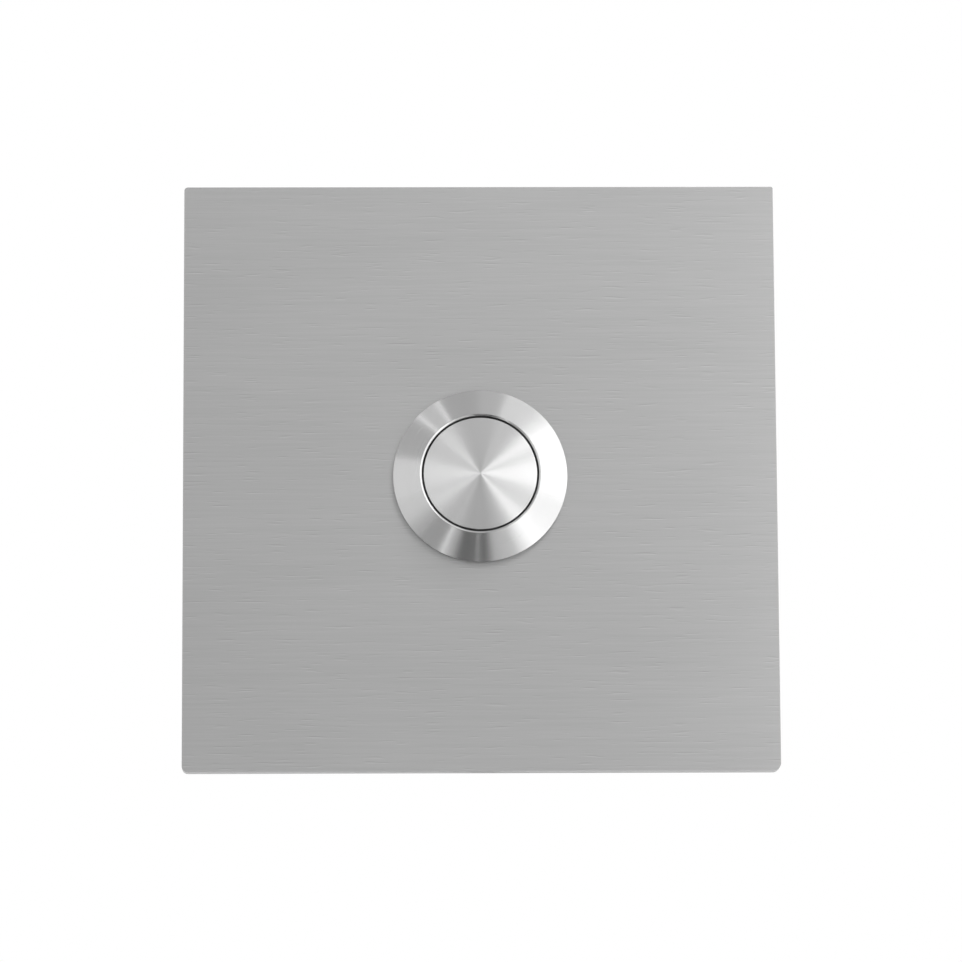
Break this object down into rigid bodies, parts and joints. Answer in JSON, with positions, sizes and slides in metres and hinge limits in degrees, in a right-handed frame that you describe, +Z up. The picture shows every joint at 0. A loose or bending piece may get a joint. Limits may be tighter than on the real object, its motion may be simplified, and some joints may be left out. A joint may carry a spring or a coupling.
{
  "type": "doorbell button",
  "caption": "Wall doorbell button: a square brushed steel plate with a turned push button that travels inward, springs back and closes a contact, held by studs on its back.",
  "frame": {"origin": "on the button's axis in the plane of the wall, at the centre of the studs", "axes": "+Y along the button's axis into the wall, so the plate faces -Y; +Z up; +X to the right as seen from the front"},
  "size_m": [0.075, 0.027, 0.075],
  "materials": {
    "plate_steel": "brushed across",
    "turned_steel": "turned",
    "stud_steel": "bright drawn",
    "nut_steel": "machined",
    "washer_steel": "stamped",
    "spring_steel": "drawn wire",
    "clip_steel": "phosphated",
    "screw_steel": "nickel plated",
    "foam": "closed-cell foam",
    "seal_rubber": "matte rubber",
    "plunger_plastic": "moulded",
    "base_plastic": "moulded, fine grain",
    "terminal_brass": "stamped",
    "bridge_bronze": "stamped",
    "contact_silver": "satin"
  },
  "bodies": {
    "housing": {"face_plate": "plate_steel", "mounting_studs": "stud_steel", "wall_gasket": "foam", "button_body": "turned_steel", "bezel_seal_ring": "seal_rubber", "lock_washer": "washer_steel", "clamp_nut": "nut_steel", "stem_seal_ring": "seal_rubber", "return_spring": "spring_steel", "fixed_contacts": "contact_silver", "terminal_right": "terminal_brass", "terminal_left": "terminal_brass", "switch_base": "base_plastic", "base_seal_ring": "seal_rubber", "base_retaining_ring": "clip_steel", "terminal_washers": "screw_steel", "terminal_screws": "screw_steel"},
    "button": {"push_cap": "turned_steel", "cap_retaining_clip": "clip_steel", "plunger": "plunger_plastic", "bridge_keeper": "clip_steel", "contact_spring": "spring_steel"},
    "bridge": {"contact_bridge": "bridge_bronze", "moving_contacts": "contact_silver"}
  },
  "joints": [
    {"name": "button_press", "type": "slide", "parent": "housing", "child": "button", "axis": [0, 1, 0], "range_m": [0, 0.0015], "stiffness_N_per_m": 900, "springref_m": -0.002, "deforming": ["return_spring"]},
    {"name": "bridge_give", "type": "slide", "parent": "button", "child": "bridge", "axis": [0, -1, 0], "range_m": [0, 0.0005], "stiffness_N_per_m": 300, "springref_m": -0.001, "deforming": ["contact_spring"]}
  ],
  "couplings": [
    {"joint": "bridge_give", "follows": "button_press", "ratio": 0.3333}
  ]
}
